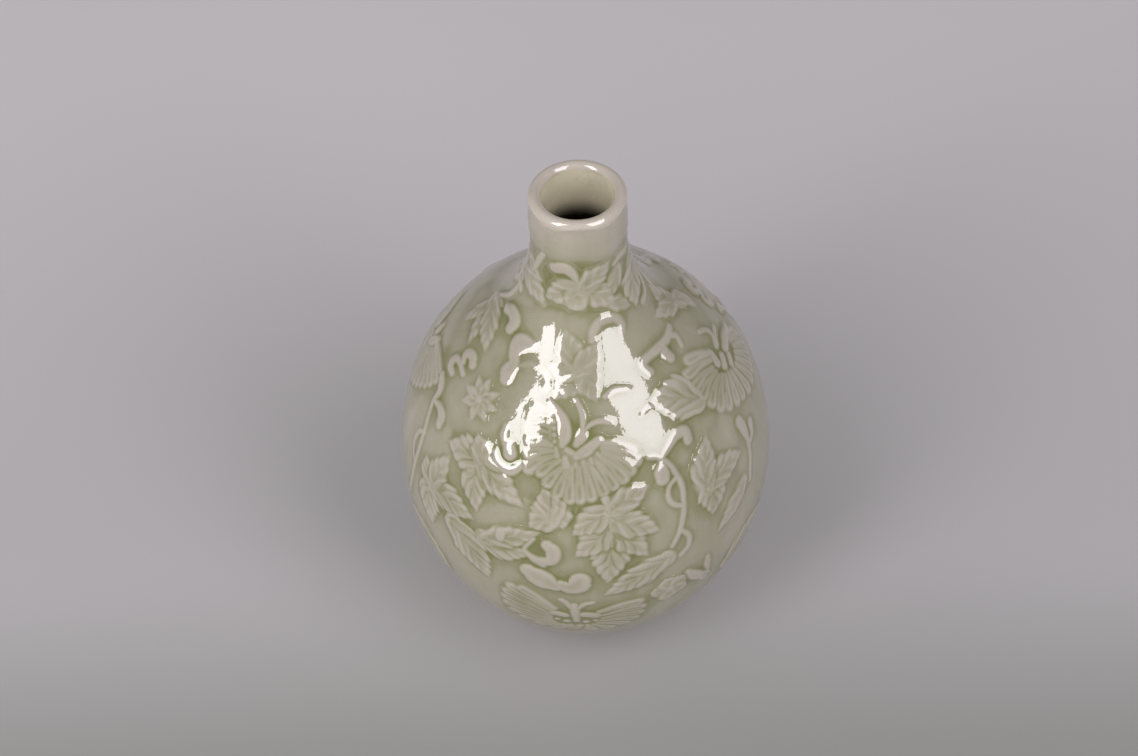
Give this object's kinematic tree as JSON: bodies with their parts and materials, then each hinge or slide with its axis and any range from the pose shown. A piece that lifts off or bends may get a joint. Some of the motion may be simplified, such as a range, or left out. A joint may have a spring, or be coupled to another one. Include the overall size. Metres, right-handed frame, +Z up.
{
  "type": "bottle vase",
  "caption": "Egg-shaped celadon bottle vase with a short straight neck, rounded lip, low foot ring and raised butterfly, vine-leaf and blossom sprigs.",
  "frame": {"origin": "middle of the foot ring's resting face", "axes": "+Z up along the vase's axis, out of the mouth; -Y towards the side with the large butterfly above the vine leaf; +X to the right of that side"},
  "size_m": [0.16, 0.1638, 0.2363],
  "materials": {
    "glaze": "glossy celadon glaze, pooled a little greener in the ground between the sprigs",
    "sprig_glaze": "glossy celadon glaze, thinner and paler over the raised sprigs",
    "bare_clay": "unglazed fired clay, matt"
  },
  "bodies": {
    "root": {"foot_ring": "bare_clay", "lower_body": "glaze", "upper_body": "glaze", "neck": "glaze", "butterfly_large": "sprig_glaze", "butterfly_large_back": "sprig_glaze", "butterfly_side": "sprig_glaze", "butterfly_left": "sprig_glaze", "butterfly_low": "sprig_glaze", "butterfly_low_back": "sprig_glaze", "vine_leaf": "sprig_glaze", "vine_leaf_back": "sprig_glaze", "upper_leaf": "sprig_glaze", "upper_leaf_back": "sprig_glaze", "left_leaf": "sprig_glaze", "left_leaf_back": "sprig_glaze", "low_left_leaf": "sprig_glaze", "low_left_leaf_back": "sprig_glaze", "hooked_leaf": "sprig_glaze", "hooked_leaf_back": "sprig_glaze", "small_leaf": "sprig_glaze", "small_leaf_back": "sprig_glaze", "leaflets": "sprig_glaze", "leaflets_back": "sprig_glaze", "shell_leaf": "sprig_glaze", "shoulder_leaf": "sprig_glaze", "shoulder_leaf_back": "sprig_glaze", "spray_leaf": "sprig_glaze", "forked_leaf": "sprig_glaze", "neck_leaf": "sprig_glaze", "neck_leaf_back": "sprig_glaze", "neck_side_leaf": "sprig_glaze", "neck_side_leaf_back": "sprig_glaze", "neck_small_leaf": "sprig_glaze", "low_leaf": "sprig_glaze", "low_leaf_back": "sprig_glaze", "spike_leaf": "sprig_glaze", "far_left_leaf": "sprig_glaze", "far_right_leaf": "sprig_glaze", "tip_leaf": "sprig_glaze", "star_flower": "sprig_glaze", "star_flower_back": "sprig_glaze", "round_flower": "sprig_glaze", "round_flower_back": "sprig_glaze", "left_vine": "sprig_glaze", "left_vine_back": "sprig_glaze", "right_vine": "sprig_glaze", "right_vine_back": "sprig_glaze", "forked_scroll": "sprig_glaze", "forked_scroll_back": "sprig_glaze", "curl_scroll": "sprig_glaze", "twin_scroll": "sprig_glaze", "twin_scroll_back": "sprig_glaze", "branch_scroll": "sprig_glaze", "shoulder_curl": "sprig_glaze", "left_curl": "sprig_glaze", "shoulder_scroll": "sprig_glaze", "shoulder_scroll_back": "sprig_glaze", "side_scroll": "sprig_glaze"}
  },
  "joints": []
}
